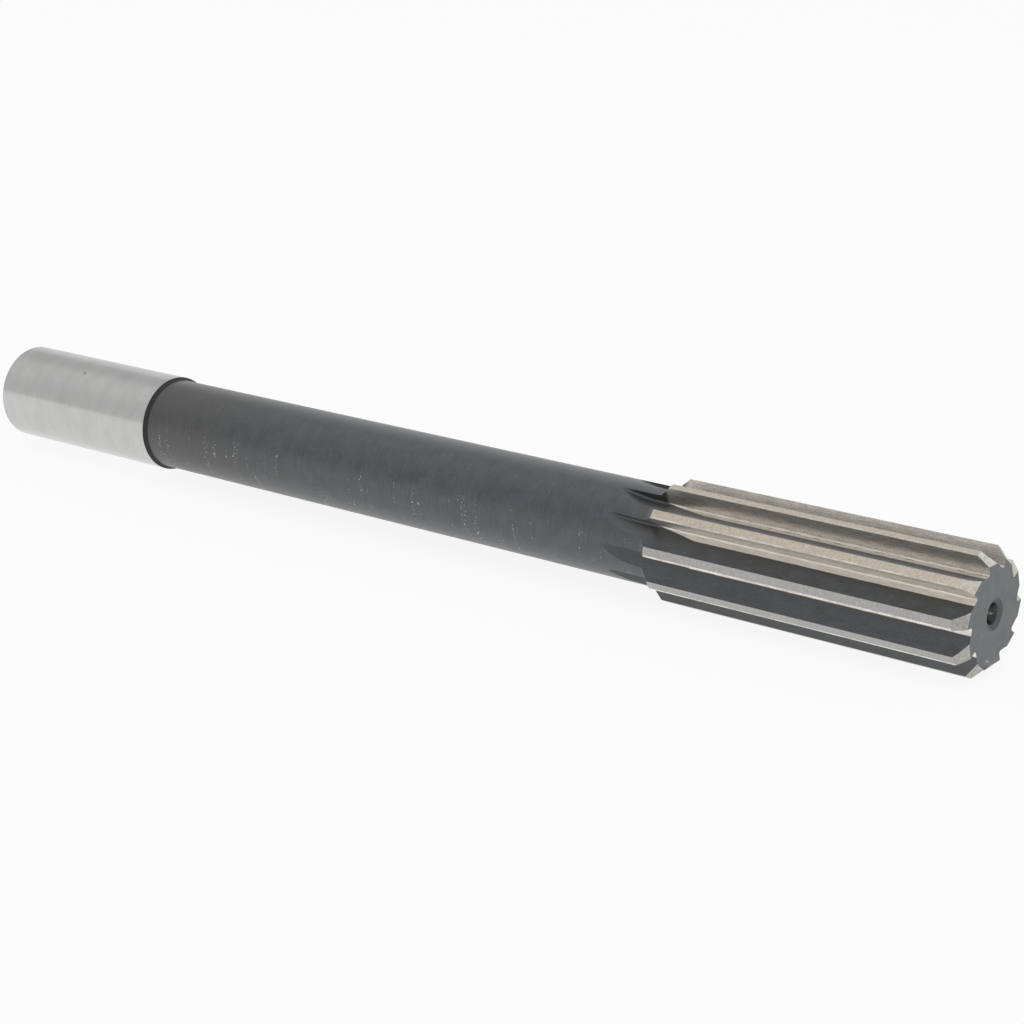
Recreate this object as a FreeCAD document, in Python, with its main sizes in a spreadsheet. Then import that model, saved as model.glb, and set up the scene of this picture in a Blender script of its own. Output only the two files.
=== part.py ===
import FreeCAD, Part
import os
import Sketcher

# Straight-shank machine reamer: one solid of high-speed steel.
# It is built along +X, shank end at x = 0 and cutting end forward, with one tooth at the top.
# Its rake face lies in the XZ plane and faces -Y, so the cut is right-handed.
# The Placement then lays it on its lands, over the origin. All lengths are in millimetres.
SIZES = {
    # turned blank
    "overall_length": 266.7,
    "shank_diameter": 22.2,
    "shank_length": 50.4,
    "rim_chamfer": 0.5,
    "step_run": 0.75,
    "step_fillet": 0.8,
    "neck_diameter": 20.9,
    "shoulder_fillet": 1.2,
    "cutting_diameter": 25.4,
    "land_length": 71.0,
    "chamfer": 2.1,
    # centre holes
    "guard_diameter": 6.3,
    "guard_angle": 120.0,
    "cone_diameter": 4.4,
    "cone_angle": 60.0,
    "pilot_diameter": 2.0,
    "pilot_length": 2.4,
    "drill_point_angle": 118.0,
    # teeth
    "flutes": 10,
    "land_width": 2.0,
    "margin_width": 0.33,
    "land_relief": 9.0,
    "chamfer_relief": 14.0,
    # milled flutes
    "gullet_root": 8.7,
    "gullet_radius": 10.6,
    "root_fillet": 0.5,
    "cutter_radius": 31.5,
    "cutter_overrun": 1.5,
    "overcut": 1.5,
}

# Sizes worked out from the sheet, as expressions.
SHANK_R = "(Sizes.shank_diameter / 2)"
NECK_R = "(Sizes.neck_diameter / 2)"
CUT_R = "(Sizes.cutting_diameter / 2)"
LAND_START = "(Sizes.overall_length - Sizes.land_length)"
SHOULDER_FOOT = f"({LAND_START} - ({CUT_R} - {NECK_R}))"
CHAMFER_START = "(Sizes.overall_length - Sizes.chamfer)"
PITCH = "(360 / Sizes.flutes)"
MARGIN_ANGLE = f"(Sizes.margin_width / {CUT_R} * 180 / pi)"
LAND_ANGLE = f"(Sizes.land_width / {CUT_R} * 180 / pi)"
HEEL_R = (f"({CUT_R} * cos(Sizes.land_relief) / "
          f"cos(Sizes.land_relief - {LAND_ANGLE} + {MARGIN_ANGLE}))")
CUT_TOP = f"({CUT_R} + Sizes.overcut)"
CUTTER_STOP = f"({LAND_START} - Sizes.cutter_overrun)"
# A land's heel and the next cutting edge carry the reamer when it lies down.
GAP_ANGLE = f"({PITCH} - {LAND_ANGLE})"
HEEL_LEAN = f"(atan(({HEEL_R} / {CUT_R} - cos({GAP_ANGLE})) / sin({GAP_ANGLE})) / (1 deg))"
REST_TURN = f"({LAND_ANGLE} + {HEEL_LEAN})"
REST_HEIGHT = f"({HEEL_R} * cos({HEEL_LEAN}))"


def make_sheet(doc):
    sheet = doc.addObject("Spreadsheet::Sheet", "Sizes")
    for row, (alias, value) in enumerate(SIZES.items(), start=1):
        sheet.set(f"B{row}", str(value))
        sheet.setAlias(f"B{row}", alias)
    doc.recompute()


def origin_plane(body, role):
    return next(f for f in body.Origin.OriginFeatures if f.Role == role)


def add_sketch(body, name, role):
    sketch = body.newObject("Sketcher::SketchObject", name)
    sketch.AttachmentSupport = [(origin_plane(body, role), "")]
    sketch.MapMode = "FlatFace"
    return sketch


def value_of(obj, expression):
    found = obj.evalExpression(expression)
    return float(getattr(found, "Value", found))


def bind(sketch, constraint, name, expression):
    """Adds a constraint and ties its value to an expression."""
    index = sketch.addConstraint(constraint)
    sketch.renameConstraint(index, name)
    sketch.setExpression(f"Constraints.{name}", expression)


def pin_point(sketch, point, name, x, y):
    """Holds a sketch point, (geometry, end), at the coordinates that two expressions give.

    In a sketch, geometry -1 is the horizontal axis, its end 1 the origin, and -2 the vertical axis.
    """
    for kind, axis, expression in (("X", -2, x), ("Y", -1, y)):
        if expression == "0":
            sketch.addConstraint(Sketcher.Constraint("PointOnObject", *point, axis))
        else:
            distance = value_of(sketch, expression)
            held = Sketcher.Constraint(f"Distance{kind}", -1, 1, *point, distance)
            bind(sketch, held, f"{name}_{kind.lower()}", expression)


def draw_outline(sketch, corners):
    """Draws a closed outline of straight lines through named corners."""
    spots = [FreeCAD.Vector(value_of(sketch, x), value_of(sketch, y), 0)
             for name, x, y in corners]
    count = len(spots)
    for i in range(count):
        sketch.addGeometry(Part.LineSegment(spots[i], spots[(i + 1) % count]))
    for i in range(count):
        sketch.addConstraint(Sketcher.Constraint("Coincident", i, 2, (i + 1) % count, 1))
    for i, (name, x, y) in enumerate(corners):
        pin_point(sketch, (i, 1), name, x, y)


def checked_cut(doc, feature, least=0.01):
    """Rebuilds the model and makes sure that a cut takes metal away."""
    before = feature.BaseFeature.Shape.Volume
    doc.recompute()
    if not feature.Shape.isValid() or feature.Shape.Volume > before - least:
        raise RuntimeError(f"{feature.Name} cuts nothing")


def ring_edge(shape, x, radius, match=1e-4):
    """Name of the circular edge about the X axis at a given place."""
    for i, edge in enumerate(shape.Edges, start=1):
        circle = edge.Curve
        if isinstance(circle, Part.Circle) and abs(circle.Radius - radius) < match:
            if abs(circle.Center.x - x) < match:
                return f"Edge{i}"
    raise RuntimeError(f"no ring edge at x = {x}")


def turn_blank(doc, body):
    """The lathe work: shank, neck, cutting cylinder and front chamfer, with a fillet at each foot."""
    sketch = add_sketch(body, "blank_section", "XZ_Plane")
    draw_outline(sketch, [
        ("back_centre", "0", "0"),
        ("back_rim", "0", f"{SHANK_R} - Sizes.rim_chamfer"),
        ("shank_back", "Sizes.rim_chamfer", SHANK_R),
        ("shank_front", "Sizes.shank_length", SHANK_R),
        ("neck_back", "Sizes.shank_length + Sizes.step_run", NECK_R),
        ("neck_front", SHOULDER_FOOT, NECK_R),
        ("land_back", LAND_START, CUT_R),
        ("chamfer_back", CHAMFER_START, CUT_R),
        ("face_rim", "Sizes.overall_length", f"{CUT_R} - Sizes.chamfer"),
        ("face_centre", "Sizes.overall_length", "0"),
    ])
    blank = body.newObject("PartDesign::Revolution", "blank")
    blank.Profile = sketch
    blank.ReferenceAxis = (origin_plane(body, "X_Axis"), [""])
    blank.Angle = 360
    doc.recompute()
    neck_r = value_of(blank, NECK_R)
    for name, foot, radius in (
            ("step_foot", "Sizes.shank_length + Sizes.step_run", "Sizes.step_fillet"),
            ("shoulder_foot", SHOULDER_FOOT, "Sizes.shoulder_fillet")):
        base = body.Tip
        fillet = body.newObject("PartDesign::Fillet", name)
        fillet.Base = (base, [ring_edge(base.Shape, value_of(base, foot), neck_r)])
        fillet.setExpression("Radius", radius)
        doc.recompute()


def drill_centre(doc, body, name, end, inward):
    """A centre hole: a wide chamfer that guards the 60 degree cone, then a drilled pilot."""
    guard_r = "(Sizes.guard_diameter / 2)"
    cone_r = "(Sizes.cone_diameter / 2)"
    pilot_r = "(Sizes.pilot_diameter / 2)"
    guard_depth = f"(({guard_r} - {cone_r}) / tan(Sizes.guard_angle / 2))"
    cone_depth = f"({guard_depth} + ({cone_r} - {pilot_r}) / tan(Sizes.cone_angle / 2))"
    pilot_depth = f"({cone_depth} + Sizes.pilot_length)"
    point_depth = f"({pilot_depth} + {pilot_r} / tan(Sizes.drill_point_angle / 2))"
    sketch = add_sketch(body, f"{name}_section", "XZ_Plane")
    draw_outline(sketch, [
        ("mouth_centre", end, "0"),
        ("mouth", end, guard_r),
        ("cone_mouth", f"{end} {inward} {guard_depth}", cone_r),
        ("throat", f"{end} {inward} {cone_depth}", pilot_r),
        ("bottom", f"{end} {inward} {pilot_depth}", pilot_r),
        ("point", f"{end} {inward} {point_depth}", "0"),
    ])
    hole = body.newObject("PartDesign::Groove", name)
    hole.Profile = sketch
    hole.ReferenceAxis = (origin_plane(body, "X_Axis"), [""])
    hole.Angle = 360
    checked_cut(doc, hole)


def draw_flute(sketch):
    """Section of the gap in front of the top tooth, with the milling cutter's own axis above it.

    The rake face is the vertical axis. The back of the tooth ahead is an arc from that tooth's
    heel down to the root, where a small fillet joins the two.
    """
    heel_x = f"(-{HEEL_R} * sin({GAP_ANGLE}))"
    heel_y = f"({HEEL_R} * cos({GAP_ANGLE}))"
    cutter_y = "(Sizes.gullet_root + Sizes.cutter_radius)"
    heel = FreeCAD.Vector(value_of(sketch, heel_x), value_of(sketch, heel_y), 0)
    root = FreeCAD.Vector(0, value_of(sketch, "Sizes.gullet_root"), 0)
    arc_r = value_of(sketch, "Sizes.gullet_radius")
    fillet_r = value_of(sketch, "Sizes.root_fillet")
    top = value_of(sketch, CUT_TOP)
    up = FreeCAD.Vector(0, 0, 1)

    chord = root - heel
    aside = FreeCAD.Vector(-chord.y, chord.x, 0).normalize()
    centre = heel + chord * 0.5 + aside * (arc_r ** 2 - (chord.Length / 2) ** 2) ** 0.5
    reach = arc_r - fillet_r
    fillet_y = centre.y - (reach ** 2 - (centre.x + fillet_r) ** 2) ** 0.5
    fillet_centre = FreeCAD.Vector(-fillet_r, fillet_y, 0)
    meeting = centre + (fillet_centre - centre).normalize() * arc_r
    arc_top = FreeCAD.Vector(centre.x - (arc_r ** 2 - (centre.y - top) ** 2) ** 0.5, top, 0)
    rake_foot = FreeCAD.Vector(0, fillet_y, 0)
    rake_top = FreeCAD.Vector(0, top, 0)
    cutter = value_of(sketch, cutter_y)

    back_circle = Part.Circle(centre, up, arc_r)
    fillet_circle = Part.Circle(fillet_centre, up, fillet_r)
    axis = sketch.addGeometry(
        Part.LineSegment(FreeCAD.Vector(-1, cutter, 0), FreeCAD.Vector(0, cutter, 0)), True)
    rake = sketch.addGeometry(Part.LineSegment(rake_foot, rake_top))
    lid = sketch.addGeometry(Part.LineSegment(rake_top, arc_top))
    back = sketch.addGeometry(Part.ArcOfCircle(
        back_circle, back_circle.parameter(arc_top), back_circle.parameter(meeting)))
    foot = sketch.addGeometry(Part.ArcOfCircle(
        fillet_circle, fillet_circle.parameter(meeting), fillet_circle.parameter(rake_foot)))
    root_point = sketch.addGeometry(Part.Point(root), True)
    heel_point = sketch.addGeometry(Part.Point(heel), True)

    sketch.addConstraint([
        Sketcher.Constraint("Horizontal", axis),
        Sketcher.Constraint("PointOnObject", axis, 2, -2),
        Sketcher.Constraint("PointOnObject", rake, 1, -2),
        Sketcher.Constraint("Vertical", rake),
        Sketcher.Constraint("Horizontal", lid),
        Sketcher.Constraint("Coincident", rake, 2, lid, 1),
        Sketcher.Constraint("Coincident", lid, 2, back, 1),
        Sketcher.Constraint("Tangent", back, 2, foot, 1),
        Sketcher.Constraint("Tangent", foot, 2, rake, 1),
        Sketcher.Constraint("PointOnObject", root_point, 1, back),
        Sketcher.Constraint("PointOnObject", heel_point, 1, back),
    ])
    bind(sketch, Sketcher.Constraint("DistanceX", axis, 1, axis, 2, 1), "axis_length",
         "Sizes.overcut")
    bind(sketch, Sketcher.Constraint("DistanceY", -1, 1, axis, 2, cutter), "cutter_height",
         cutter_y)
    bind(sketch, Sketcher.Constraint("DistanceY", -1, 1, rake, 2, top), "cut_top", CUT_TOP)
    bind(sketch, Sketcher.Constraint("Radius", back, arc_r), "back_radius", "Sizes.gullet_radius")
    bind(sketch, Sketcher.Constraint("Radius", foot, fillet_r), "foot_radius",
         "Sizes.root_fillet")
    pin_point(sketch, (root_point, 1), "root", "0", "Sizes.gullet_root")
    pin_point(sketch, (heel_point, 1), "heel", heel_x, heel_y)


def mill_flute(doc, body):
    """One flute: a straight cut from the cutter's stop to the face, and its run-out behind."""
    sketch = add_sketch(body, "flute_section", "YZ_Plane")
    sketch.setExpression(".AttachmentOffset.Base.z", CUTTER_STOP)
    doc.recompute()
    draw_flute(sketch)
    doc.recompute()
    flute = body.newObject("PartDesign::Pocket", "flute")
    flute.Profile = sketch
    flute.Type = "ThroughAll"
    flute.Reversed = True
    checked_cut(doc, flute)
    runout = body.newObject("PartDesign::Groove", "runout")
    runout.Profile = sketch
    runout.ReferenceAxis = (sketch, ["Axis0"])
    runout.setExpression(
        "Angle", f"acos(1 - ({CUT_TOP} - Sizes.gullet_root) / Sizes.cutter_radius)")
    checked_cut(doc, runout)
    return [flute, runout]


def relieve_land(doc, body):
    """The land falls away behind its narrow round margin, on a flat from margin to heel."""
    margin_x = f"({CUT_R} * sin({MARGIN_ANGLE}))"
    margin_y = f"({CUT_R} * cos({MARGIN_ANGLE}))"
    flat = "(Sizes.land_width + Sizes.overcut / 2)"
    fall = f"({MARGIN_ANGLE} + Sizes.land_relief)"
    sketch = add_sketch(body, "relief_section", "YZ_Plane")
    sketch.setExpression(".AttachmentOffset.Base.z", SHOULDER_FOOT)
    doc.recompute()
    draw_outline(sketch, [
        ("margin", margin_x, margin_y),
        ("behind", f"{margin_x} + {flat} * cos({fall})", f"{margin_y} - {flat} * sin({fall})"),
        ("above_behind", f"{margin_x} + {flat} * cos({fall})", CUT_TOP),
        ("above_margin", margin_x, CUT_TOP),
    ])
    doc.recompute()
    relief = body.newObject("PartDesign::Pocket", "land_relief")
    relief.Profile = sketch
    relief.Type = "ThroughAll"
    relief.Reversed = True
    checked_cut(doc, relief)
    return relief


def relieve_chamfer(doc, body):
    """The cutting chamfer of one tooth: a flat that falls away behind its 45 degree edge."""
    behind = f"({CUT_R} * sin({PITCH} / 2))"
    ahead = "(Sizes.overcut / 2)"
    slope = "tan(Sizes.chamfer_relief)"
    above = "Sizes.chamfer + Sizes.overcut"
    sketch = add_sketch(body, "chamfer_section", "YZ_Plane")
    sketch.AttachmentOffset = FreeCAD.Placement(
        FreeCAD.Vector(), FreeCAD.Rotation(FreeCAD.Vector(1, 0, 0), 45))
    sketch.setExpression(".AttachmentOffset.Base.y", CUT_R)
    sketch.setExpression(".AttachmentOffset.Base.z", CHAMFER_START)
    doc.recompute()
    draw_outline(sketch, [
        ("ahead", f"-{ahead}", f"{ahead} * {slope}"),
        ("behind", behind, f"-{behind} * {slope}"),
        ("above_behind", behind, above),
        ("above_ahead", f"-{ahead}", above),
    ])
    doc.recompute()
    relief = body.newObject("PartDesign::Pocket", "chamfer_relief")
    relief.Profile = sketch
    relief.Type = "Length"
    relief.Midplane = True
    relief.setExpression("Length", "2 * (sqrt(2) * Sizes.chamfer + 2 * Sizes.overcut)")
    checked_cut(doc, relief)
    return relief


def repeat_teeth(doc, body, cuts):
    pattern = body.newObject("PartDesign::PolarPattern", "teeth")
    pattern.Originals = cuts
    pattern.Axis = (origin_plane(body, "X_Axis"), [""])
    pattern.Angle = 360
    pattern.setExpression("Occurrences", "Sizes.flutes")
    body.Tip = pattern
    doc.recompute()
    if pattern.Shape.Volume >= cuts[-1].Shape.Volume - 1:
        raise RuntimeError("the teeth pattern cuts nothing")


def make_reamer(doc):
    body = doc.addObject("PartDesign::Body", "reamer")
    body.Label = "reamer"
    turn_blank(doc, body)
    drill_centre(doc, body, "back_centre_hole", "0", "+")
    drill_centre(doc, body, "front_centre_hole", "Sizes.overall_length", "-")
    cuts = mill_flute(doc, body)
    cuts.append(relieve_land(doc, body))
    cuts.append(relieve_chamfer(doc, body))
    repeat_teeth(doc, body, cuts)
    body.Placement = FreeCAD.Placement(
        FreeCAD.Vector(), FreeCAD.Rotation(FreeCAD.Vector(1, 0, 0), 1))
    body.setExpression(".Placement.Base.x", "-Sizes.overall_length / 2")
    body.setExpression(".Placement.Base.z", REST_HEIGHT)
    body.setExpression(".Placement.Rotation.Angle", REST_TURN)
    doc.recompute()
    return body


def check_document(doc, bodies):
    for obj in doc.Objects:
        if "Invalid" in obj.State or "Error" in obj.State:
            raise RuntimeError(f"{obj.Name} did not build")
    for body in bodies:
        if body.Shape.isNull() or not body.Shape.isValid() or len(body.Shape.Solids) != 1:
            raise RuntimeError(f"{body.Label} is not one sound solid")


def main():
    doc = FreeCAD.newDocument("machine_reamer")
    make_sheet(doc)
    bodies = [make_reamer(doc)]
    check_document(doc, bodies)
    os.makedirs("parts", exist_ok=True)
    for body in bodies:
        body.Shape.exportStep(os.path.join("parts", f"{body.Label}.step"))
        box = body.Shape.optimalBoundingBox()
        print(f"{body.Label}: {box.XLength:.2f} x {box.YLength:.2f} x {box.ZLength:.2f} mm, "
              f"lowest z {box.ZMin:.4f}, volume {body.Shape.Volume:.0f} mm3")


main()
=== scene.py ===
import math

import bpy
from bpy.props import FloatProperty, FloatVectorProperty, IntProperty, PointerProperty
from mathutils import Matrix, Quaternion, Vector


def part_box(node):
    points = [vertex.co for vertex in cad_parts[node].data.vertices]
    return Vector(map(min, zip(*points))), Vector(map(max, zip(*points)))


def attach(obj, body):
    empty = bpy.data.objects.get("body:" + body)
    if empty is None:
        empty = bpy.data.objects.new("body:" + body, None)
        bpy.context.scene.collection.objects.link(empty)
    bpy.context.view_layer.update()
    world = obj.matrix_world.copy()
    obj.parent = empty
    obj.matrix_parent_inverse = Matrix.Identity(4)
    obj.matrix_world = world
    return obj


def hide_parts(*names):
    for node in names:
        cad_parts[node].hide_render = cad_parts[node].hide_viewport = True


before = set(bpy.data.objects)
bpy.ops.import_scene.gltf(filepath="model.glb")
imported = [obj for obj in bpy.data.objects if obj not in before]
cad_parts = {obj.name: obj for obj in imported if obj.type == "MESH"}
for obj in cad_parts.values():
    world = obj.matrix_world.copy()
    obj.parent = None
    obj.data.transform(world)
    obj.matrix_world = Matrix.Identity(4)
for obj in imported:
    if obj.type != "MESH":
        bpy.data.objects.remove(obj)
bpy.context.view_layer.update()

bl_info = {
    "name": "Machine Reamer",
    "version": (1, 0, 0),
    "blender": (4, 5, 0),
    "location": "View3D > Sidebar > Reamer",
    "description": "Adds a straight-shank machine reamer, its finishes and a plain stage",
    "category": "Add Mesh",
}

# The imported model's box, and the two ends of the reamer along X.
NODE_LOW, NODE_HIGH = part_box("reamer")
MM = 0.001
WELD = 0.001 * MM
X_AXIS = Vector((1.0, 0.0, 0.0))
# Steps of the curved surfaces, and the angle under which neighbouring faces shade as one.
TURN_STEPS = 360
FILLET_STEP = math.radians(5.0)
RUNOUT_STEP = math.radians(1.5)
SMOOTH_UNDER = math.radians(7.0)
# How far the cutting shapes reach, in land widths and in chamfer sizes.
LAND_REACH = 1.4
CHAMFER_REACH = 3.0
# A cut takes away at least this share of the piece, and a flat end faces along X this nearly.
LEAST_CUT = 0.0001
FLAT_END = 0.99
# Degrees behind a rake face from which places round its tooth are counted.
BEHIND_RAKE = 4.0
# The lamps: where each hangs, and the side of its square panel.
LAMP_ABOVE = Vector((0.1, -0.1, 1.5)), 1.6
LAMP_FRONT = Vector((0.4, -1.6, 0.7)), 1.2


# ---------------------------------------------------------------- properties

def length(name, description, default):
    """A length in metres, typed in millimetres."""
    return FloatProperty(name=name, description=description, default=default * MM, min=0.0,
                         precision=5, subtype="DISTANCE", unit="LENGTH")


def angle(name, description, degrees):
    """An angle, typed in degrees."""
    return FloatProperty(name=name, description=description, default=math.radians(degrees),
                         subtype="ANGLE", unit="ROTATION")


def share(name, description, default, highest=1.0):
    """A plain number from nothing to its highest."""
    return FloatProperty(name=name, description=description, default=default,
                         min=0.0, max=highest, precision=3)


def colour(name, description, red, green, blue):
    """A colour, in linear light."""
    return FloatVectorProperty(name=name, description=description, subtype="COLOR", size=3,
                               default=(red, green, blue), min=0.0, max=1.0)


class ReamerSizes(bpy.types.PropertyGroup):
    """Sizes of the reamer itself, the same as in its construction."""
    shank_diameter: length("Shank diameter", "Ground straight shank", 22.2)
    shank_length: length("Shank length", "From the shank end to the step", 50.4)
    rim_chamfer: length("Rim chamfer", "Chamfer on the shank end", 0.5)
    step_run: length("Step run", "Length of the slope from the shank down to the neck", 0.75)
    step_fillet: length("Step fillet", "Fillet at the foot of the step", 0.8)
    neck_diameter: length("Neck diameter", "Turned neck", 20.9)
    shoulder_fillet: length("Shoulder fillet", "Fillet where the neck meets the teeth", 1.2)
    cutting_diameter: length("Cutting diameter", "Over the margins", 25.4)
    land_length: length("Land length", "From the full diameter's start to the face", 71.0)
    chamfer: length("Cutting chamfer", "Width and height of the 45 degree chamfer", 2.1)
    guard_diameter: length("Guard diameter", "Wide chamfer at a centre hole's mouth", 6.3)
    guard_angle: angle("Guard angle", "Included angle of that chamfer", 120.0)
    cone_diameter: length("Cone diameter", "Mouth of the centre cone", 4.4)
    cone_angle: angle("Cone angle", "Included angle of the centre cone", 60.0)
    pilot_diameter: length("Pilot diameter", "Drilled hole below the cone", 2.0)
    pilot_length: length("Pilot length", "Straight part of the drilled hole", 2.4)
    drill_point: angle("Drill point", "Included angle at the hole's bottom", 118.0)
    flutes: IntProperty(name="Flutes", description="Number of teeth", default=10, min=4, max=20)
    land_width: length("Land width", "From the cutting edge to the heel", 2.0)
    margin_width: length("Margin width", "Round strip behind the cutting edge", 0.33)
    land_relief: angle("Land relief", "Fall of the land behind its margin", 9.0)
    chamfer_relief: angle("Chamfer relief", "Fall of the chamfer behind its edge", 14.0)
    gullet_root: length("Gullet root", "Root of the flute, from the axis", 8.7)
    gullet_radius: length("Gullet radius", "Hollow back of a tooth", 10.6)
    root_fillet: length("Root fillet", "Fillet at the foot of the rake face", 0.5)
    cutter_radius: length("Cutter radius", "Milling cutter that leaves the run-outs", 31.5)
    cutter_overrun: length("Cutter overrun", "The cutter's stop behind the lands' start", 1.5)
    overcut: length("Overcut", "How far the cutting shapes stand clear of the steel", 1.5)
    ground_before: length("Grinding, before", "Where a root's grinding starts behind the lands",
                          4.0)
    ground_after: length("Grinding, full", "Where a root is ground to its full width, past the "
                         "lands' start", 9.0)
    ground_width: angle("Grinding, width", "How far ahead of its rake face a root is ground",
                        11.4)
    scale_along: length("Scale along", "Where black scale is left along the top tooth's root, "
                        "from the shank end", 215.0)
    nick_along: length("Nick along", "A nick in the shank, from the shank end", 25.2)
    nick_round: angle("Nick round", "The nick's place round the shank", 102.4)


class ReamerColours(bpy.types.PropertyGroup):
    """Colours of the reamer's finishes."""
    shank_dark: colour("Shank, dark", "Ground shank, darker marks", 0.53, 0.525, 0.52)
    shank_light: colour("Shank, light", "Ground shank, lighter marks", 0.585, 0.58, 0.575)
    nick: colour("Nick", "A small dark nick in the shank", 0.06, 0.05, 0.045)
    oxide_dark: colour("Oxide, dark", "Black oxide, darker patches", 0.004, 0.006, 0.008)
    oxide_grey: colour("Oxide, grey", "Black oxide near the shank, lighter patches",
                       0.020, 0.0195, 0.019)
    oxide_blue: colour("Oxide, blue", "Black oxide near the teeth, lighter patches",
                       0.025, 0.038, 0.050)
    step_dark: colour("Step", "Dull scale on the step's slope and fillet", 0.012, 0.012, 0.012)
    oxide_worn: colour("Oxide, worn", "Black oxide on the tool marks' crests", 0.08, 0.085, 0.09)
    oxide_marks: share("Oxide marks", "How strongly the tool marks show", 0.4)
    bare_speck: colour("Bare speck", "Small spots of bare steel", 0.6, 0.6, 0.59)
    # Painted shade: the rake face's colours, darker and browner than the root's.
    shaded_rake_dark: colour("Rake, dark", "Ground rake face, darker streaks", 0.52, 0.475, 0.42)
    shaded_rake_light: colour("Rake, light", "Ground rake face, lighter streaks", 0.80, 0.75, 0.69)
    # Painted highlight: the root's colours, paler than the rake face's.
    lit_root_dark: colour("Root, dark", "Ground root of the flute, darker streaks", 0.78, 0.735, 0.67)
    lit_root_light: colour("Root, light", "Ground root of the flute, lighter streaks",
                       0.98, 0.95, 0.90)
    land_dark: colour("Land, dark", "Ground land, darker marks", 0.38, 0.375, 0.365)
    land_light: colour("Land, light", "Ground land, lighter marks", 0.50, 0.49, 0.475)
    # Painted light: lit copies of the land's colours, warmer and brighter, for the upper side.
    lit_land_dark: colour("Stain, dark", "Lands of the warmer side, darker marks", 0.52, 0.455, 0.37)
    lit_land_light: colour("Stain, light", "Lands of the warmer side, lighter marks",
                        0.70, 0.625, 0.52)
    # Painted shade: a brown band where the ground root meets the black back.
    seam: colour("Seam", "Brown line where the ground root ends", 0.13, 0.105, 0.08)
    # Painted shade: the chamfer's colours for the lower side, darker than the upper side's.
    shaded_facet_dark: colour("Facet, dark", "Chamfer of the cooler side, darker grain",
                       0.37, 0.36, 0.335)
    shaded_facet_light: colour("Facet, light", "Chamfer of the cooler side, lighter grain",
                        0.52, 0.505, 0.475)
    rust: colour("Rust", "Small brown stains on the lands", 0.20, 0.10, 0.06)
    # The margin's own pale grind; on the upper chamfer facets the same colours are painted light.
    margin_and_lit_facet_dark: colour("Edge, dark", "Margin and chamfer, darker grain", 0.60, 0.56, 0.50)
    margin_and_lit_facet_light: colour("Edge, light", "Margin and chamfer, lighter grain", 0.90, 0.87, 0.80)
    face_dark: colour("End face, dark", "End face, darker patches", 0.155, 0.172, 0.178)
    face_light: colour("End face, light", "End face, lighter patches", 0.185, 0.202, 0.208)
    guard_ring: colour("Guard ring", "Wide chamfer round a centre hole", 0.10, 0.115, 0.128)
    # Painted shade: the dark inside of a centre hole.
    shaded_cone: colour("Centre cone, dark", "Oily steel inside a centre hole", 0.05, 0.05, 0.048)
    # Painted highlight: glints inside a centre hole.
    cone_glint: colour("Centre cone, light", "Bare steel inside a centre hole",
                       0.45, 0.45, 0.44)


class StageSizes(bpy.types.PropertyGroup):
    """Camera, lamps and floor."""
    aim_along: FloatProperty(name="Aim along", description="Aim point along the axis",
                             default=19.25 * MM, subtype="DISTANCE", unit="LENGTH")
    aim_height: length("Aim height", "Aim point above the floor", 9.965)
    distance: length("Distance", "From the aim point to the camera", 513.47)
    azimuth: angle("Azimuth", "Round the object, from its near side to its cutting end", 37.949)
    elevation: angle("Elevation", "Above the floor", 15.423)
    roll: angle("Roll", "Tilt of the camera about its line of sight", 1.616)
    lens: FloatProperty(name="Lens", description="Focal length", default=84.448, min=10.0,
                        subtype="DISTANCE_CAMERA", unit="CAMERA")
    floor_size: length("Floor size", "Side of the square floor", 16000.0)
    floor_colour: colour("Floor colour", "Matt white floor", 0.97, 0.97, 0.97)
    floor_glow: share("Floor glow", "Share of plain white in the floor as it is seen", 0.88)
    lamp_above: share("Lamp above", "Power of the overhead lamp in watts", 2.0, 50.0)
    lamp_front: share("Lamp in front", "Power of the front lamp in watts", 1.0, 50.0)
    sky_low: share("Light from low behind", "Surroundings behind, near the floor", 0.80, 4.0)
    sky_back: share("Light from behind", "Surroundings high up behind", 0.62, 4.0)
    sky_top: share("Light from above", "Surroundings overhead", 0.78, 4.0)
    sky_front: share("Light from the front", "Surroundings on the camera's side", 0.70, 4.0)


# ---------------------------------------------------------------- modelling helpers

def deselect_all():
    """Leaves nothing selected, in object mode."""
    if bpy.context.object and bpy.context.object.mode != "OBJECT":
        bpy.ops.object.mode_set(mode="OBJECT")
    bpy.ops.object.select_all(action="DESELECT")


def choose(piece):
    """Makes one object the only selected one and the active one."""
    deselect_all()
    piece.select_set(True)
    bpy.context.view_layer.objects.active = piece


def rounded(before, corner, after, radius):
    """The two ends and the centre of the arc that rounds a corner, all in one plane."""
    back, on = (before - corner).normalized(), (after - corner).normalized()
    half = back.angle(on) / 2
    reach = radius / math.tan(half)
    centre = corner + (back + on).normalized() * (radius / math.sin(half))
    return corner + back * reach, corner + on * reach, centre


class Pencil:
    """Draws one line of edges in edit mode, from a single point on."""

    def __init__(self, name, start):
        deselect_all()
        bpy.ops.mesh.primitive_plane_add(size=MM, enter_editmode=True)
        self.piece = bpy.context.object
        self.piece.name = self.piece.data.name = name
        bpy.ops.mesh.merge(type="CENTER")
        bpy.ops.transform.translate(value=start)
        self.first = self.at = Vector(start)

    def line(self, point):
        """A straight edge to a point."""
        bpy.ops.mesh.extrude_vertices_move(
            TRANSFORM_OT_translate={"value": Vector(point) - self.at})
        self.at = Vector(point)

    def arc(self, centre, end, step):
        """An arc about a centre to a point, in even steps no larger than the step."""
        start, stop = self.at - centre, Vector(end) - centre
        turn = start.angle(stop)
        bpy.ops.mesh.spin(steps=math.ceil(turn / step - 0.001), angle=turn, center=centre,
                          axis=stop.cross(start).normalized(), dupli=False)
        self.at = Vector(end)

    def close(self):
        """Joins the last point to the first and fills the outline with one face."""
        self.line(self.first)
        bpy.ops.mesh.select_all(action="SELECT")
        bpy.ops.mesh.remove_doubles(threshold=WELD)
        bpy.ops.mesh.edge_face_add()


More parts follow.
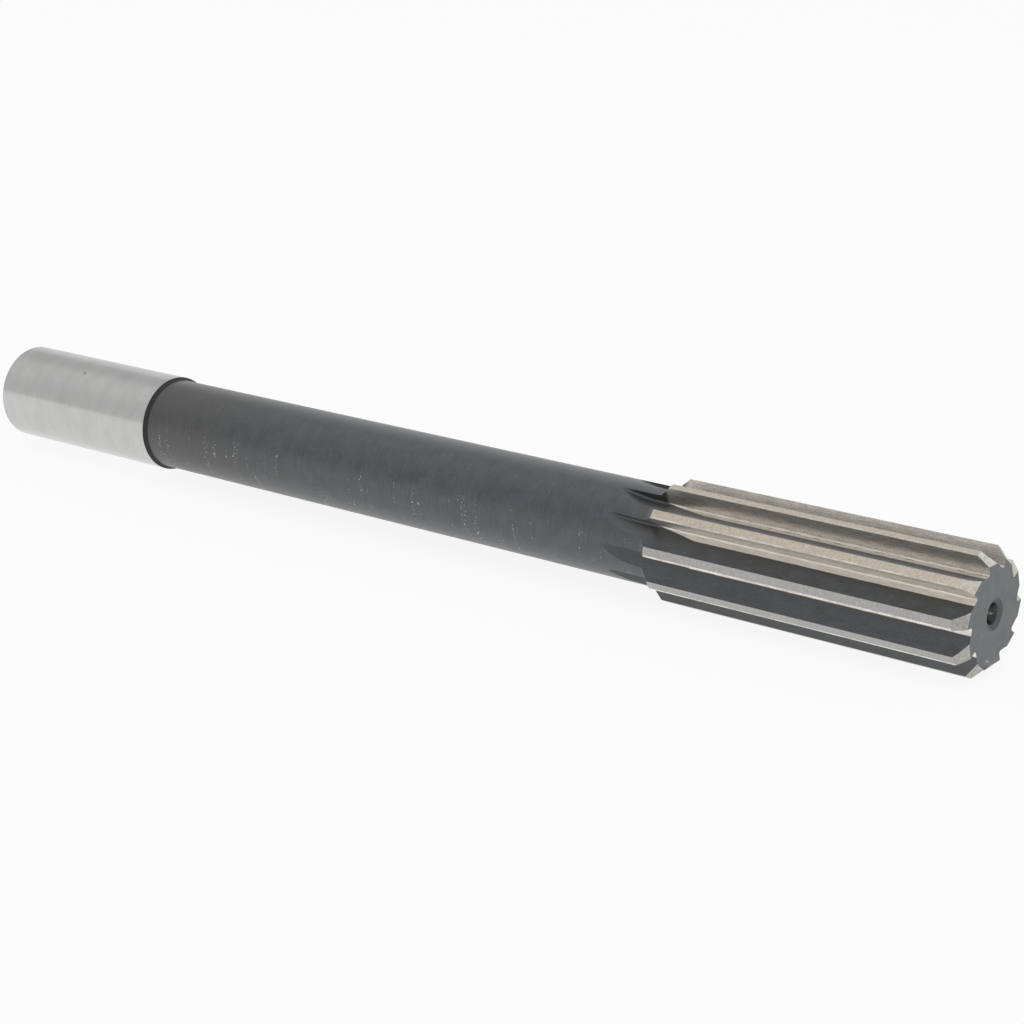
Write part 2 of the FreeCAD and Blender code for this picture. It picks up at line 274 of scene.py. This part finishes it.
def seal(piece):
    """Merges doubles, closes the shell and points its faces outwards."""
    bpy.ops.mesh.select_all(action="SELECT")
    bpy.ops.mesh.remove_doubles(threshold=WELD)
    bpy.ops.mesh.normals_make_consistent(inside=False)
    bpy.ops.mesh.select_all(action="DESELECT")
    bpy.ops.mesh.select_non_manifold()
    bpy.ops.object.mode_set(mode="OBJECT")
    if any(vertex.select for vertex in piece.data.vertices):
        raise RuntimeError(f"{piece.name} is not a closed shell")


def repeat_round(piece, count):
    """Copies a piece round the X axis, each copy with its own mesh, and joins them into one."""
    ring = [piece]
    for i in range(1, count):
        choose(piece)
        bpy.ops.object.duplicate(linked=False)
        copy = bpy.context.object
        copy.data.transform(Matrix.Rotation(i * 2 * math.pi / count, 4, "X"))
        ring.append(copy)
    deselect_all()
    for each in ring:
        each.select_set(True)
    bpy.context.view_layer.objects.active = piece
    bpy.ops.object.join()
    return piece


def cut_away(piece, cutter, finish):
    """Takes the cutter's shape out of the piece and gives the new faces their finish."""
    before = volume(piece)
    for material in piece.data.materials:
        cutter.data.materials.append(material)
    for face in cutter.data.polygons:
        face.material_index = piece.data.materials.find(finish)
    choose(piece)
    bpy.ops.object.modifier_add(type="BOOLEAN")
    modifier = piece.modifiers[-1]
    modifier.operation = "DIFFERENCE"
    modifier.solver = "EXACT"
    modifier.object = cutter
    bpy.ops.object.modifier_apply(modifier=modifier.name)
    bpy.data.objects.remove(cutter)
    if not 0 < volume(piece) < before * (1 - LEAST_CUT):
        raise RuntimeError(f"nothing was cut away from {piece.name}")


def volume(piece):
    """The volume that a closed mesh encloses."""
    piece.data.calc_loop_triangles()
    spots = [v.co for v in piece.data.vertices]
    return sum(spots[a].dot(spots[b].cross(spots[c]))
               for a, b, c in (t.vertices for t in piece.data.loop_triangles)) / 6


# ---------------------------------------------------------------- the reamer's shape

class Plan:
    """Sizes that follow from the typed ones. The shank end is at X = 0, one tooth is on top."""

    def __init__(self, s):
        self.length = NODE_HIGH.x - NODE_LOW.x
        self.shank_r = s.shank_diameter / 2
        self.neck_r = s.neck_diameter / 2
        self.cut_r = s.cutting_diameter / 2
        self.land_start = self.length - s.land_length
        self.shoulder_foot = self.land_start - (self.cut_r - self.neck_r)
        self.chamfer_start = self.length - s.chamfer
        self.pitch = 2 * math.pi / s.flutes
        self.margin = s.margin_width / self.cut_r
        self.land = s.land_width / self.cut_r
        self.heel_r = (self.cut_r * math.cos(s.land_relief)
                       / math.cos(s.land_relief - self.land + self.margin))
        self.cut_top = self.cut_r + s.overcut
        self.cutter_stop = self.land_start - s.cutter_overrun
        gap = self.gap = self.pitch - self.land
        lean = math.atan((self.heel_r / self.cut_r - math.cos(gap)) / math.sin(gap))
        self.rest_turn = self.land + lean
        self.rest_height = self.heel_r * math.cos(lean)
        # Places that the finishes use, in millimetres.
        self.shank_end = s.shank_length / MM
        self.root_start = (self.land_start - s.ground_before) / MM
        self.root_full = (self.land_start + s.ground_after) / MM
        self.root_width = math.degrees(s.ground_width)
        self.scale_start = s.scale_along / MM
        self.nick = (s.nick_along / MM, self.shank_r / MM * math.cos(s.nick_round),
                     self.shank_r / MM * math.sin(s.nick_round))


def centre_hole_line(s, end, inward):
    """The corners of a centre hole, from its mouth to the point of its pilot."""
    guard_r, cone_r, pilot_r = s.guard_diameter / 2, s.cone_diameter / 2, s.pilot_diameter / 2
    guard = (guard_r - cone_r) / math.tan(s.guard_angle / 2)
    cone = guard + (cone_r - pilot_r) / math.tan(s.cone_angle / 2)
    bottom = cone + s.pilot_length
    point = bottom + pilot_r / math.tan(s.drill_point / 2)
    return [Vector((end + inward * depth, 0, radius)) for depth, radius in (
        (0, guard_r), (guard, cone_r), (cone, pilot_r), (bottom, pilot_r), (point, 0))]


def turn_blank(s, plan):
    """The lathe work: half an outline with both centre holes, spun about the axis."""
    back_hole = centre_hole_line(s, 0.0, 1)
    front_hole = centre_hole_line(s, plan.length, -1)
    pencil = Pencil("reamer_body", back_hole[-1])
    for corner in reversed(back_hole[:-1]):
        pencil.line(corner)
    pencil.line((0, 0, plan.shank_r - s.rim_chamfer))
    pencil.line((s.rim_chamfer, 0, plan.shank_r))
    step = Vector((s.shank_length, 0, plan.shank_r))
    step_foot = Vector((s.shank_length + s.step_run, 0, plan.neck_r))
    shoulder_foot = Vector((plan.shoulder_foot, 0, plan.neck_r))
    shoulder = Vector((plan.land_start, 0, plan.cut_r))
    pencil.line(step)
    for before, corner, after, radius in (
            (step, step_foot, shoulder_foot, s.step_fillet),
            (step_foot, shoulder_foot, shoulder, s.shoulder_fillet)):
        start, end, centre = rounded(before, corner, after, radius)
        pencil.line(start)
        pencil.arc(centre, end, FILLET_STEP)
    pencil.line(shoulder)
    pencil.line((plan.chamfer_start, 0, plan.cut_r))
    pencil.line((plan.length, 0, plan.cut_r - s.chamfer))
    for corner in front_hole:
        pencil.line(corner)
    bpy.ops.mesh.select_all(action="SELECT")
    bpy.ops.mesh.spin(steps=TURN_STEPS, angle=2 * math.pi, center=(0, 0, 0), axis=X_AXIS,
                      use_auto_merge=True)
    seal(pencil.piece)
    return pencil.piece


def flute_outline(s, plan):
    """The gap in front of the top tooth: its rake face is upright, its back a hollow arc."""
    x = plan.cutter_stop
    heel = Vector((x, -plan.heel_r * math.sin(plan.gap),
                   plan.heel_r * math.cos(plan.gap)))
    root = Vector((x, 0, s.gullet_root))
    chord = root - heel
    aside = Vector((0, -chord.z, chord.y)).normalized()
    back_centre = heel + chord / 2 + aside * math.sqrt(
        s.gullet_radius ** 2 - (chord.length / 2) ** 2)
    reach = s.gullet_radius - s.root_fillet
    foot_centre = Vector((x, -s.root_fillet, back_centre.z - math.sqrt(
        reach ** 2 - (back_centre.y + s.root_fillet) ** 2)))
    meeting = back_centre + (foot_centre - back_centre).normalized() * s.gullet_radius
    arc_top = Vector((x, back_centre.y - math.sqrt(
        s.gullet_radius ** 2 - (back_centre.z - plan.cut_top) ** 2), plan.cut_top))
    pencil = Pencil("flute_cutter", Vector((x, 0, plan.cut_top)))
    pencil.line(arc_top)
    pencil.arc(back_centre, meeting, FILLET_STEP / 2)
    pencil.arc(foot_centre, Vector((x, 0, foot_centre.z)), FILLET_STEP)
    pencil.line(pencil.first)
    return pencil.piece


def flute_cutters(s, plan):
    """The outline drawn to beyond the face, and spun back along the milling cutter's rim."""
    piece = flute_outline(s, plan)
    bpy.ops.mesh.select_all(action="SELECT")
    bpy.ops.mesh.remove_doubles(threshold=WELD)
    bpy.ops.mesh.extrude_region_move(TRANSFORM_OT_translate={
        "value": X_AXIS * (plan.length + s.overcut - plan.cutter_stop)})
    bpy.ops.mesh.edge_face_add()
    bpy.ops.mesh.select_all(action="DESELECT")
    bpy.ops.object.mode_set(mode="OBJECT")
    for edge in piece.data.edges:
        edge.select = all(piece.data.vertices[i].co.x < plan.cutter_stop + WELD
                          for i in edge.vertices)
    bpy.ops.object.mode_set(mode="EDIT")
    turn = math.acos(1 - (plan.cut_top - s.gullet_root) / s.cutter_radius)
    bpy.ops.mesh.spin(steps=math.ceil(turn / RUNOUT_STEP), angle=turn,
                      center=(plan.cutter_stop, 0, s.gullet_root + s.cutter_radius),
                      axis=(0, -1, 0))
    bpy.ops.mesh.edge_face_add()
    seal(piece)
    return repeat_round(piece, s.flutes)


def block(name, corners, along):
    """An outline of straight lines, filled and drawn along a direction."""
    pencil = Pencil(name, corners[0])
    for corner in corners[1:]:
        pencil.line(corner)
    pencil.close()
    bpy.ops.mesh.extrude_region_move(TRANSFORM_OT_translate={"value": along})
    seal(pencil.piece)
    return pencil.piece


def land_cutters(s, plan):
    """The land falls away on a flat, from the edge of its round margin to its heel."""
    edge = Vector((plan.shoulder_foot, plan.cut_r * math.sin(plan.margin),
                   plan.cut_r * math.cos(plan.margin)))
    fall = plan.margin + s.land_relief
    behind = edge + Vector((0, math.cos(fall), -math.sin(fall))) * s.land_width * LAND_REACH
    piece = block("land_cutter", [
        edge, behind, Vector((edge.x, behind.y, plan.cut_top)),
        Vector((edge.x, edge.y, plan.cut_top))],
        X_AXIS * (plan.length + s.overcut - plan.shoulder_foot))
    return repeat_round(piece, s.flutes)


def chamfer_cutters(s, plan):
    """Each tooth's cutting chamfer: a flat that falls away behind its 45 degree edge."""
    edge = Vector((plan.chamfer_start, 0, plan.cut_r))
    outward, slope = Vector((1, 0, 1)).normalized(), Vector((1, 0, -1)).normalized()
    ahead, behind = s.overcut / 2, plan.cut_r * math.sin(plan.pitch / 2)
    tan_relief = math.tan(s.chamfer_relief)
    start = edge - slope * s.chamfer * CHAMFER_REACH
    piece = block("chamfer_cutter", [
        start + Vector((0, across, 0)) + outward * out for across, out in (
            (-ahead, ahead * tan_relief), (behind, -behind * tan_relief),
            (behind, s.chamfer * 2), (-ahead, s.chamfer * 2))],
        slope * s.chamfer * CHAMFER_REACH * 2)
    return repeat_round(piece, s.flutes)


def finish_blank(piece, s, plan):
    """Gives each turned surface its finish, by its place along and out from the axis."""
    def zone(face):
        x, radius = face.center.x, math.hypot(face.center.y, face.center.z)
        if radius < s.guard_diameter / 2 and (x < s.shank_length or x > plan.chamfer_start):
            return "centre_hole"
        if abs(face.normal.x) > FLAT_END:
            return "end_face"
        if x < s.shank_length:
            return "ground_shank"
        if x < s.shank_length + s.step_run + s.step_fillet:
            return "step_scale"
        if x < plan.land_start:
            return "black_oxide"
        return "land_margin"
    for face in piece.data.polygons:
        face.material_index = piece.data.materials.find(zone(face))


def lay_down(piece, plan):
    """Turns the reamer onto two of its lands, over the origin, and applies its place."""
    choose(piece)
    piece.location = (-plan.length / 2, 0, plan.rest_height)
    piece.rotation_euler = (plan.rest_turn, 0, 0)
    bpy.ops.object.transform_apply()
    bpy.ops.object.mode_set(mode="EDIT")
    seal(piece)
    choose(piece)
    bpy.ops.object.shade_smooth_by_angle(angle=SMOOTH_UNDER)


# ---------------------------------------------------------------- shader expressions

class Wire:
    """A node's socket that Python's own signs work on; each sign adds its node."""

    def __init__(self, graph, socket):
        self.graph = graph
        self.socket = socket

    def sign(self, operation, *values):
        return self.graph.node("ShaderNodeMath", {"operation": operation},
                               dict(enumerate(values)))

    def __add__(self, other):
        return self.sign("ADD", self, other)

    def __sub__(self, other):
        return self.sign("SUBTRACT", self, other)

    def __rsub__(self, other):
        return self.sign("SUBTRACT", other, self)

    def __mul__(self, other):
        return self.sign("MULTIPLY", self, other)

    def __truediv__(self, other):
        return self.sign("DIVIDE", self, other)

    def __pow__(self, other):
        return self.sign("POWER", self, other)

    def __mod__(self, other):
        return self.sign("FLOORED_MODULO", self, other)

    def __abs__(self):
        return self.sign("ABSOLUTE", self)

    __radd__ = __add__
    __rmul__ = __mul__


class Graph:
    """The nodes of one material or of the surroundings."""

    def __init__(self, tree):
        self.tree = tree
        tree.nodes.clear()

    def node(self, kind, settings=None, values=None, out=0):
        """Adds a node: its settings first, then the values or links of its sockets."""
        made = self.tree.nodes.new(kind)
        for name, value in (settings or {}).items():
            setattr(made, name, value)
        for key, value in (values or {}).items():
            if isinstance(value, Wire):
                self.tree.links.new(value.socket, made.inputs[key])
            else:
                made.inputs[key].default_value = value
        return Wire(self, made.outputs[out]) if made.outputs else None

    def mix(self, amount, below, above):
        """One colour over another, by an amount from 0 to 1."""
        return self.node("ShaderNodeMix", {"data_type": "RGBA"},
                         {0: amount, 6: below, 7: above}, out=2)

    def blend(self, amount, below, above):
        """One number over another, by an amount from 0 to 1."""
        return self.node("ShaderNodeMix", None, {0: amount, 2: below, 3: above})

    def scaled(self, place, factors):
        """A place stretched by three factors, so that a pattern on it runs one way."""
        return self.node("ShaderNodeVectorMath", {"operation": "MULTIPLY"},
                         {0: place, 1: factors})

    def noise(self, place, scale=1.0, detail=3.0, rough=0.55):
        """Even noise about 0.5; the scale is in spots to a millimetre."""
        return self.node("ShaderNodeTexNoise", None, {
            "Vector": place, "Scale": scale, "Detail": detail, "Roughness": rough})

    def fade(self, value, low, high):
        """Rises smoothly from 0 to 1 between two values, or falls where low is the larger."""
        return self.node("ShaderNodeMapRange", {"interpolation_type": "SMOOTHSTEP"}, {
            "Value": value, "From Min": low, "From Max": high})

    def bump(self, height, depth):
        """The surface's normal with a height pattern of that depth, in millimetres."""
        return self.node("ShaderNodeBump", None, {"Distance": depth * MM, "Height": height})


def opaque(shade):
    """A typed colour as a socket takes it."""
    return (*shade, 1.0)


class Spot:
    """Where a shaded point lies on the reamer, in millimetres and degrees."""

    def __init__(self, graph, plan):
        seen = graph.node("ShaderNodeTexCoord", out="Object")
        centred = graph.node("ShaderNodeVectorMath", {"operation": "SUBTRACT"}, {
            0: seen, 1: (-plan.length / 2, 0, plan.rest_height)})
        level = graph.node("ShaderNodeMapping", None, {
            "Vector": centred, "Rotation": (-plan.rest_turn, 0, 0)})
        self.place = graph.node("ShaderNodeVectorMath", {"operation": "SCALE"}, {
            0: level, "Scale": 1 / MM})
        parts = graph.node("ShaderNodeSeparateXYZ", None, {0: self.place})
        self.x = parts
        self.y, self.z = (Wire(graph, parts.socket.node.outputs[i]) for i in (1, 2))
        self.radius = (self.y * self.y + self.z * self.z) ** 0.5
        pitch = math.degrees(plan.pitch)
        # Angle ahead of the nearest rake face, from one tooth's land to the next.
        turned = self.z.sign("ARCTAN2", self.z, self.y) * math.degrees(1) - 90.0
        self.ahead = (turned + (360.0 + BEHIND_RAKE)) % pitch - BEHIND_RAKE


# ---------------------------------------------------------------- the reamer's finishes

OXIDE_GLOSS = {"IOR": 1.9, "Sheen Weight": 0.28, "Sheen Roughness": 0.4}


def oxide_layer(g, at, plan, c, lines):
    """Black oxide: its colour, roughness and height, with tool marks along the given lines."""
    fine = g.noise(g.scaled(at.place, lines), detail=4.0, rough=0.7)
    grain = g.noise(at.place, 3.0, detail=3.0, rough=0.75)
    patches = g.noise(at.place, 0.3, detail=4.0)
    height = fine * 0.5 + grain * 0.5
    bluer = g.fade(at.x, plan.shank_end, plan.shank_end + 70.0)
    light = g.mix(bluer, opaque(c.oxide_grey), opaque(c.oxide_blue))
    shade = g.mix(g.fade(patches * 0.4 + height * 0.6, 0.4, 0.6), opaque(c.oxide_dark), light)
    shade = g.mix(g.fade(height, 0.52, 0.7) * c.oxide_marks, shade, opaque(c.oxide_worn))
    return shade, 0.24 + patches * 0.14 + grain * 0.14, height


def ground_steel(g, at, dark, light, lines, grain_scale=3.0):
    """Ground steel: its colour, roughness and height, with grinding marks along the lines."""
    fine = g.noise(g.scaled(at.place, lines), detail=4.0, rough=0.72)
    grain = g.noise(at.place, grain_scale, detail=2.0)
    height = fine * 0.65 + grain * 0.35
    return g.mix(g.fade(height, 0.38, 0.62), opaque(dark), opaque(light)), fine, height


def ground_shank(g, at, plan, c):
    """Cylindrically ground: the finest marks round the shank over soft clouds, and a nick."""
    fine = g.noise(g.scaled(at.place, (7.0, 0.3, 0.3)), detail=3.0)
    cloud = g.noise(g.scaled(at.place, (0.25, 0.12, 0.12)), detail=5.0, rough=0.65)
    shade = g.mix(g.fade(cloud * 0.7 + fine * 0.3, 0.36, 0.64), opaque(c.shank_dark),
                  opaque(c.shank_light))
    nick = g.node("ShaderNodeVectorMath", {"operation": "LENGTH"}, {0: g.scaled(
        g.node("ShaderNodeVectorMath", {"operation": "SUBTRACT"}, {
            0: at.place, 1: plan.nick}), (3.6, 1.5, 1.5))}, out=1)
    pit = g.fade(nick + (cloud - 0.5) * 2.0, 1.1, 0.5)
    return {"Base Color": g.mix(pit, shade, opaque(c.nick)), "Metallic": 1.0 - pit,
            "Roughness": 0.12 + cloud * 0.1 + fine * 0.05,
            "Normal": g.bump(fine * 0.4 + cloud * 0.6 - pit * 8.0, 0.002)}


def step_scale(g, at, plan, c):
    """The step's slope and fillet, with duller and darker scale than the neck."""
    grain = g.noise(at.place, 2.6, detail=3.0, rough=0.7)
    shade = g.mix(g.fade(grain, 0.4, 0.7), opaque(c.step_dark), opaque(c.oxide_grey))
    return {"Base Color": shade, "Roughness": 0.42 + grain * 0.2, "Normal": g.bump(grain, 0.01),
            "IOR": 1.5}


def black_oxide(g, at, plan, c):
    """Turned and blackened: marks round the neck, and rows of small bright specks on them."""
    shade, rough, height = oxide_layer(g, at, plan, c, (2.6, 0.2, 0.2))
    rows = g.noise(g.scaled(at.place, (0.75, 0.06, 0.06)), detail=1.0)
    dots = g.noise(g.scaled(at.place, (3.4, 2.0, 2.0)), detail=1.0)
    below = g.fade(at.z / at.radius, 0.65, 0.35)
    worn = g.fade(dots, 0.62, 0.70) * g.fade(rows, 0.58, 0.66) * (0.1 + 0.7 * below)
    return {"Base Color": g.mix(worn, shade, opaque(c.bare_speck)),
            "Metallic": worn, "Roughness": rough, "Normal": g.bump(height, 0.012),
            **OXIDE_GLOSS}


def scale_left(g, at, plan):
    """A broken line of black scale that the grinding left along the top tooth's root."""
    broken = g.fade(g.noise(g.scaled(at.place, (0.45, 0.1, 0.1)), detail=2.0), 0.5, 0.56)
    line = g.fade(abs(at.ahead - 3.4), 0.7, 0.3)
    return broken * line * g.fade(at.z / at.radius, 0.9, 0.96) * g.fade(
        at.x, plan.scale_start, plan.scale_start + 7.0)


def milled_flute(g, at, plan, c):
    """Ground bright along the rake face and root, black as milled on the back and behind."""
    black, black_rough, black_height = oxide_layer(g, at, plan, c, (0.5, 2.6, 2.6))
    # Painted shade: the oxide darkens towards the bottom of the gullet, near the rake face.
    gullet_shade = g.fade(at.ahead, 20.0, 10.0)
    black = g.mix(gullet_shade * 0.85, black, opaque(c.oxide_dark))
    # Painted shade on the rake face, darker and browner than the root.
    rake, fine, bright_height = ground_steel(
        g, at, c.shaded_rake_dark, c.shaded_rake_light, (0.3, 4.0, 4.0))
    # Painted highlight along the ground root.
    root = g.mix(g.fade(fine, 0.35, 0.65), opaque(c.lit_root_dark), opaque(c.lit_root_light))
    bright = g.mix(g.fade(at.ahead, 0.6, 2.6), rake, root)
    wave = (g.noise(g.scaled(at.place, (0.35, 0.8, 0.8)), detail=4.0) - 0.5) * 1.2
    rise = g.node("ShaderNodeMapRange", None, {
        "Value": at.x, "From Min": plan.root_start, "From Max": plan.root_full}) ** 1.3
    reach = rise * (plan.root_width + 1.0) - 1.0 + wave
    ground = g.fade(at.ahead, reach, reach - 0.5)
    # Painted shade: a brown band along the edge of the ground root.
    seam = g.fade(at.ahead, reach - 1.6, reach - 0.5)
    ground = ground * (1.0 - scale_left(g, at, plan))
    return {"Base Color": g.mix(ground, black, g.mix(seam, bright, opaque(c.seam))),
            "Metallic": ground, "Roughness": g.blend(ground, black_rough, fine * 0.2 + 0.3),
            "Normal": g.bump(g.blend(ground, black_height, bright_height), 0.008),
            **OXIDE_GLOSS}


def lit_side(g, at):
    """Painted light: from 0 on the teeth's lower side to 1 on the upper one, which is painted
    warmer and brighter as if lit from above.
    """
    return g.fade(at.z / at.radius, 0.45, 0.75)


def ground_land(g, at, plan, c):
    """Ground across the land, with small brown stains; painted warmer and brighter on the upper
    side as painted light.
    """
    shade, fine, height = ground_steel(g, at, c.land_dark, c.land_light, (5.0, 0.9, 0.9), 4.0)
    # Painted light on the upper side; the rust stains are kept to that side too.
    lit_and_rusty_side = lit_side(g, at)
    lit_land = g.mix(g.fade(height, 0.38, 0.62), opaque(c.lit_land_dark), opaque(c.lit_land_light))
    rust = g.fade(g.noise(at.place, 1.3, detail=4.0, rough=0.7), 0.62, 0.7) * lit_and_rusty_side * 0.7
    return {"Base Color": g.mix(rust, g.mix(lit_and_rusty_side, shade, lit_land), opaque(c.rust)),
            "Metallic": 1.0, "Roughness": 0.26 + fine * 0.16, "Normal": g.bump(height, 0.006)}


def land_margin(g, at, plan, c):
    """The narrow round strip behind the edge, finest of all."""
    shade, fine, height = ground_steel(g, at, c.margin_and_lit_facet_dark, c.margin_and_lit_facet_light, (0.3, 0.2, 0.2))
    return {"Base Color": shade, "Metallic": 1.0, "Roughness": 0.2 + fine * 0.1,
            "Normal": g.bump(height, 0.002)}


def cutting_chamfer(g, at, plan, c):
    """Ground facets with an open grain, painted paler and warmer on the upper side as painted
    light.
    """
    shaded_facet, fine, height = ground_steel(g, at, c.shaded_facet_dark, c.shaded_facet_light, (1.1, 1.6, 1.6))
    # Painted light: the upper facets take the margin's paler colours, the lower ones stay in
    # painted shade.
    bright = g.mix(g.fade(height, 0.38, 0.62), opaque(c.margin_and_lit_facet_dark), opaque(c.margin_and_lit_facet_light))
    shade = g.mix(lit_side(g, at), shaded_facet, bright)
    return {"Base Color": shade, "Metallic": 1.0, "Roughness": 0.3 + fine * 0.2,
            "Normal": g.bump(height, 0.01)}


def end_face(g, at, plan, c):
    """Faced flat and blackened: an even, matt grey."""
    patches = g.noise(at.place, 0.4, detail=5.0)
    grain = g.noise(at.place, 5.0, detail=3.0)
    shade = g.mix(g.fade(patches, 0.3, 0.7), opaque(c.face_dark), opaque(c.face_light))
    return {"Base Color": shade, "Metallic": 0.35, "Roughness": 0.5 + grain * 0.15,
            "Normal": g.bump(grain, 0.004)}


def centre_hole(g, at, plan, c):
    """Countersunk and drilled: a matt outer ring, and inside it a cone and hole painted dark as
    painted shade, with painted glints.
    """
    rings = g.noise(g.scaled(at.place, (6.0, 0.4, 0.4)), detail=4.0)
    glints = g.noise(at.place, 1.4, detail=4.0, rough=0.8)
    inside = g.fade(at.radius, 2.3, 2.1)
    # Painted shade inside the hole, with painted highlights for glints.
    shade_and_glints = g.mix(g.fade(glints, 0.55, 0.68), opaque(c.shaded_cone), opaque(c.cone_glint))
    return {"Base Color": g.mix(inside, opaque(c.guard_ring), shade_and_glints),
            "Metallic": 0.3 + inside * 0.6, "Roughness": 0.5 - inside * 0.3 + rings * 0.1,
            "Normal": g.bump(rings * 0.6 + glints * 0.4, 0.06)}


def make_finish(maker, plan, c):
    """One material: the maker's colours and marks on a metal shader."""
    material = bpy.data.materials.new(maker.__name__)
    material.use_nodes = True
    g = Graph(material.node_tree)
    shader = g.node("ShaderNodeBsdfPrincipled", None, maker(g, Spot(g, plan), plan, c))
    g.node("ShaderNodeOutputMaterial", None, {"Surface": shader})
    return material


# ---------------------------------------------------------------- the stage

def floor_finish(s):
    """Matt white, plainer and brighter as the camera and shiny steel see it."""
    material = bpy.data.materials.new("floor_paint")
    material.use_nodes = True
    g = Graph(material.node_tree)
    ray = g.node("ShaderNodeLightPath")
    seen = sum((Wire(g, ray.socket.node.outputs[name])
                for name in ("Is Glossy Ray", "Is Transmission Ray")),
               Wire(g, ray.socket.node.outputs["Is Camera Ray"]))
    paint = g.node("ShaderNodeBsdfDiffuse", None, {"Color": opaque(s.floor_colour)})
    white = g.node("ShaderNodeEmission", None, {"Color": (1, 1, 1, 1), "Strength": 1.0})
    g.node("ShaderNodeOutputMaterial", None, {"Surface": g.node(
        "ShaderNodeMixShader", None, {0: seen * s.floor_glow, 1: paint, 2: white})})
    return material


def surroundings(s):
    """A soft white tent, a little darker high up behind; the camera sees it plain white."""
    world = bpy.data.worlds.new("white_tent")
    world.use_nodes = True
    g = Graph(world.node_tree)
    toward = g.node("ShaderNodeSeparateXYZ", None, {
        0: g.node("ShaderNodeTexCoord", out="Generated")})
    y = Wire(g, toward.socket.node.outputs["Y"])
    behind = g.blend(g.fade(y, 0.45, 0.62), s.sky_back, s.sky_low)
    above = g.blend(g.fade(y, 0.3, -0.1), behind, s.sky_top)
    around = g.blend(g.fade(y, -0.35, -0.6), above, s.sky_front)
    light = g.blend(g.node("ShaderNodeLightPath"), around, 1.0)
    g.node("ShaderNodeOutputWorld", None, {"Surface": g.node(
        "ShaderNodeBackground", None, {"Color": (1, 1, 1, 1), "Strength": light})})
    return world


# ---------------------------------------------------------------- operators

class REAMER_OT_body(bpy.types.Operator):
    """Turn the blank, mill its flutes, relieve its lands and its cutting chamfer"""
    bl_idname = "reamer.body"
    bl_label = "Add Reamer"
    bl_options = {"REGISTER", "UNDO"}

    def execute(self, context):
        s = context.scene.reamer
        plan = Plan(s)
        piece = turn_blank(s, plan)
        for maker in (ground_shank, step_scale, black_oxide, milled_flute, ground_land, land_margin,
                      cutting_chamfer, end_face, centre_hole):
            piece.data.materials.append(make_finish(maker, plan, context.scene.reamer_colours))
        finish_blank(piece, s, plan)
        for make_cutters, finish in ((flute_cutters, "milled_flute"),
                                     (land_cutters, "ground_land"),
                                     (chamfer_cutters, "cutting_chamfer")):
            cut_away(piece, make_cutters(s, plan), finish)
        lay_down(piece, plan)
        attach(piece, "root")
        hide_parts("reamer")
        return {"FINISHED"}


class REAMER_OT_stage(bpy.types.Operator):
    """Add the floor, the lamps, the surroundings and the camera"""
    bl_idname = "reamer.stage"
    bl_label = "Add Stage"
    bl_options = {"REGISTER", "UNDO"}

    def execute(self, context):
        s = context.scene.reamer_stage
        deselect_all()
        bpy.ops.mesh.primitive_plane_add(size=s.floor_size)
        floor = context.object
        floor.name = floor.data.name = "floor"
        aim = Vector((s.aim_along, 0, s.aim_height))
        away = Vector((math.sin(s.azimuth) * math.cos(s.elevation),
                       -math.cos(s.azimuth) * math.cos(s.elevation), math.sin(s.elevation)))
        upright = away.to_track_quat("Z", "Y")
        facing = upright @ Quaternion((0, 0, 1), s.roll)
        bpy.ops.object.camera_add(location=aim + away * s.distance,
                                  rotation=facing.to_euler())
        camera = context.object
        camera.data.lens = s.lens
        camera.data.clip_start = MM
        camera.data.clip_end = s.floor_size
        context.scene.camera = camera
        context.scene.view_settings.view_transform = "Standard"
        floor.data.materials.append(floor_finish(s))
        context.scene.world = surroundings(s)
        for name, (place, size), power in (("lamp_above", LAMP_ABOVE, s.lamp_above),
                                           ("lamp_front", LAMP_FRONT, s.lamp_front)):
            bpy.ops.object.light_add(type="AREA", location=place, rotation=(
                place - aim).to_track_quat("Z", "Y").to_euler())
            lamp = context.object
            lamp.name = lamp.data.name = name
            lamp.data.size = size
            lamp.data.energy = power
        return {"FINISHED"}


class REAMER_PT_panel(bpy.types.Panel):
    """Sizes, colours and the buttons that make each piece"""
    bl_idname = "REAMER_PT_panel"
    bl_label = "Machine Reamer"
    bl_space_type = "VIEW_3D"
    bl_region_type = "UI"
    bl_category = "Reamer"

    def draw(self, context):
        for group, operator in GROUPS:
            box = self.layout.box()
            sizes = getattr(context.scene, group)
            for name in sizes.__annotations__:
                box.prop(sizes, name)
            if operator:
                box.operator(operator)


GROUPS = (("reamer", "reamer.body"), ("reamer_colours", None), ("reamer_stage", "reamer.stage"))
CLASSES = (ReamerSizes, ReamerColours, StageSizes, REAMER_OT_body, REAMER_OT_stage, REAMER_PT_panel)


def register():
    for each in CLASSES:
        bpy.utils.register_class(each)
    bpy.types.Scene.reamer = PointerProperty(type=ReamerSizes)
    bpy.types.Scene.reamer_colours = PointerProperty(type=ReamerColours)
    bpy.types.Scene.reamer_stage = PointerProperty(type=StageSizes)


def unregister():
    del bpy.types.Scene.reamer_stage
    del bpy.types.Scene.reamer_colours
    del bpy.types.Scene.reamer
    for each in reversed(CLASSES):
        bpy.utils.unregister_class(each)


def main():
    """Makes every piece in order."""
    register()
    bpy.ops.reamer.body()
    bpy.ops.reamer.stage()


if __name__ == "__main__":
    main()
